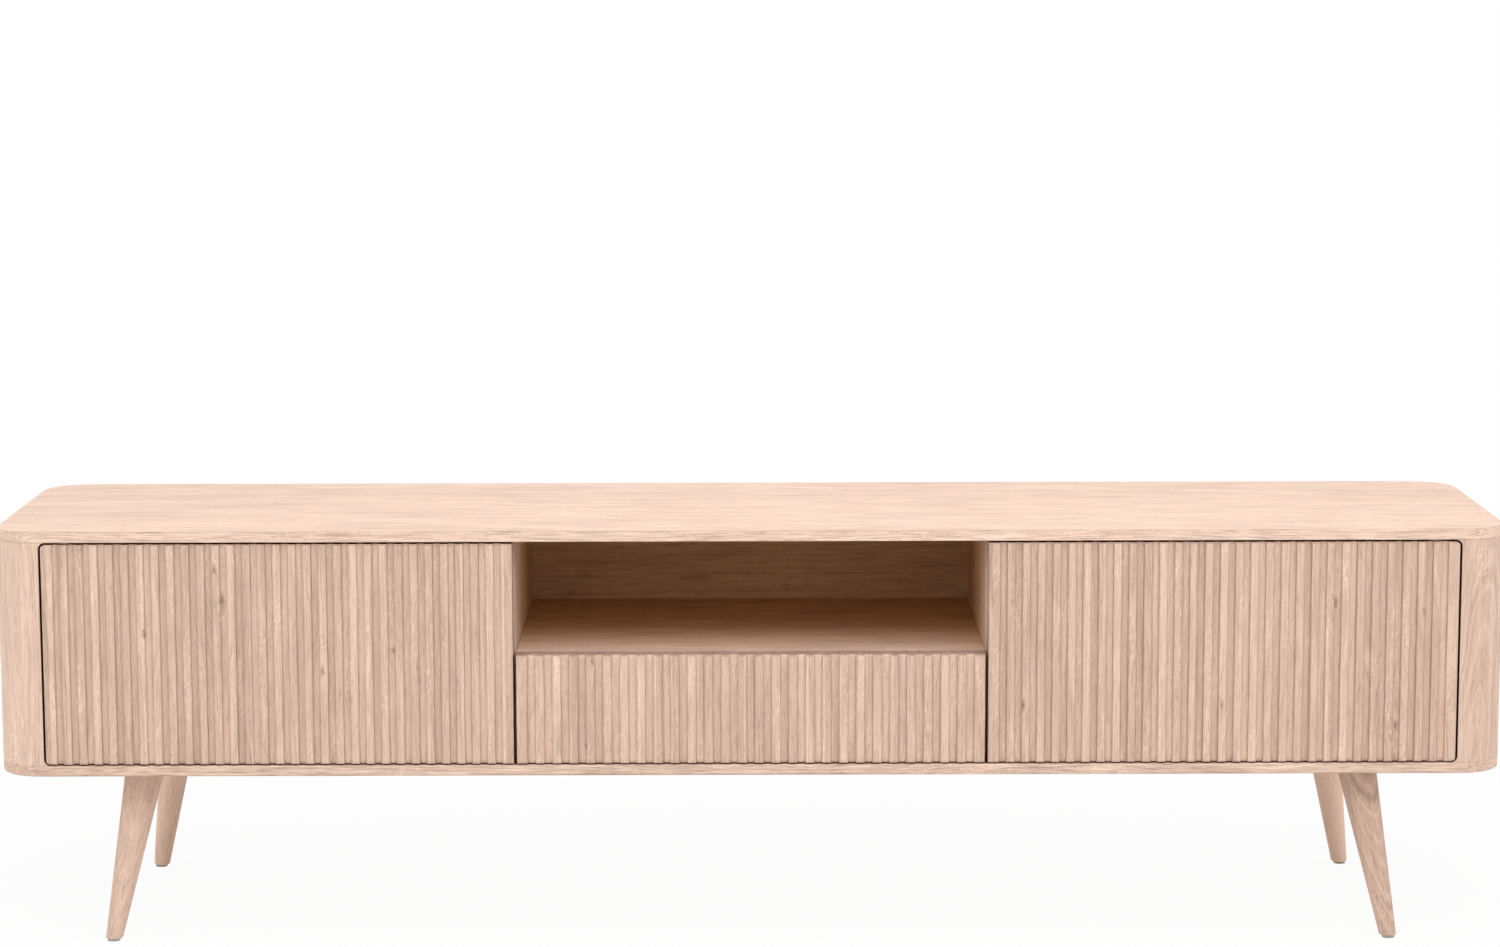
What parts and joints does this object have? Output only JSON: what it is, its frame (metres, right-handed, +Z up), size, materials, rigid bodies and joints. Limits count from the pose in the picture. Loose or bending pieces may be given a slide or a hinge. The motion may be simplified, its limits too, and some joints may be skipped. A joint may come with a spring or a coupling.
{
  "type": "media cabinet",
  "caption": "Low oak media cabinet with rounded corner posts, fluted push-to-open doors, an open niche over a fluted drawer, and splayed tapered legs.",
  "frame": {"origin": "on the floor, under the middle of the cabinet", "axes": "+X along the width to the right, -Y out of the front, +Z up"},
  "size_m": [1.8, 0.4, 0.5],
  "materials": {
    "soaped_oak": "matt soaped",
    "birch": "clear matt",
    "zinc_plated_steel": "zinc plated",
    "grey_plastic": "moulded"
  },
  "bodies": {
    "carcass": {"top_panel": "soaped_oak", "bottom_panel": "soaped_oak", "left_side_panel": "soaped_oak", "right_side_panel": "soaped_oak", "front_left_post": "soaped_oak", "front_right_post": "soaped_oak", "rear_left_post": "soaped_oak", "rear_right_post": "soaped_oak", "left_partition": "soaped_oak", "right_partition": "soaped_oak", "media_shelf": "soaped_oak", "back_panel": "soaped_oak", "left_loose_shelf": "soaped_oak", "right_loose_shelf": "soaped_oak", "shelf_pins": "zinc_plated_steel", "carcass_dowels": "birch", "back_panel_screws": "zinc_plated_steel", "front_left_leg": "soaped_oak", "front_right_leg": "soaped_oak", "rear_left_leg": "soaped_oak", "rear_right_leg": "soaped_oak", "leg_plates": "zinc_plated_steel", "leg_studs": "zinc_plated_steel", "leg_plate_screws": "zinc_plated_steel", "foot_glides": "grey_plastic", "pivot_bushes": "grey_plastic", "left_cabinet_rail": "zinc_plated_steel", "right_cabinet_rail": "zinc_plated_steel", "cabinet_rail_screws": "zinc_plated_steel", "left_latch_body": "grey_plastic", "right_latch_body": "grey_plastic", "drawer_latch_body": "grey_plastic", "latch_screws": "zinc_plated_steel"},
    "left_door": {"left_door_panel": "soaped_oak", "left_door_pivots": "zinc_plated_steel", "left_strike_plate": "zinc_plated_steel"},
    "right_door": {"right_door_panel": "soaped_oak", "right_door_pivots": "zinc_plated_steel", "right_strike_plate": "zinc_plated_steel"},
    "drawer": {"drawer_front": "soaped_oak", "drawer_box_front": "birch", "drawer_box_back": "birch", "drawer_left_side": "birch", "drawer_right_side": "birch", "drawer_bottom": "birch", "left_drawer_rail": "zinc_plated_steel", "right_drawer_rail": "zinc_plated_steel", "drawer_front_screws": "zinc_plated_steel", "drawer_rail_screws": "zinc_plated_steel", "drawer_strike_plate": "zinc_plated_steel"},
    "left_middle_rail": {"left_middle_rail": "zinc_plated_steel"},
    "right_middle_rail": {"right_middle_rail": "zinc_plated_steel"},
    "left_plunger": {"left_latch_plunger": "grey_plastic"},
    "right_plunger": {"right_latch_plunger": "grey_plastic"},
    "drawer_plunger": {"drawer_latch_plunger": "grey_plastic"}
  },
  "joints": [
    {"name": "left_door_hinge", "type": "hinge", "parent": "carcass", "child": "left_door", "pos_m": [-0.8125, -0.1885, 0.35], "axis": [0, 0, -1], "range_deg": [0, 110]},
    {"name": "right_door_hinge", "type": "hinge", "parent": "carcass", "child": "right_door", "pos_m": [0.8125, -0.1885, 0.35], "axis": [0, 0, 1], "range_deg": [0, 110]},
    {"name": "drawer_slide", "type": "slide", "parent": "carcass", "child": "drawer", "axis": [0, -1, 0], "range_m": [0, 0.29]},
    {"name": "left_middle_rail_slide", "type": "slide", "parent": "carcass", "child": "left_middle_rail", "axis": [0, -1, 0], "range_m": [0, 0.145]},
    {"name": "right_middle_rail_slide", "type": "slide", "parent": "carcass", "child": "right_middle_rail", "axis": [0, -1, 0], "range_m": [0, 0.145]},
    {"name": "left_latch_press", "type": "slide", "parent": "carcass", "child": "left_plunger", "axis": [0, 1, 0], "range_m": [0, 0.003], "stiffness_N_per_m": 400},
    {"name": "right_latch_press", "type": "slide", "parent": "carcass", "child": "right_plunger", "axis": [0, 1, 0], "range_m": [0, 0.003], "stiffness_N_per_m": 400},
    {"name": "drawer_latch_press", "type": "slide", "parent": "carcass", "child": "drawer_plunger", "axis": [0, 1, 0], "range_m": [0, 0.003], "stiffness_N_per_m": 400}
  ],
  "couplings": [
    {"joint": "left_middle_rail_slide", "follows": "drawer_slide", "ratio": 0.5},
    {"joint": "right_middle_rail_slide", "follows": "drawer_slide", "ratio": 0.5}
  ]
}
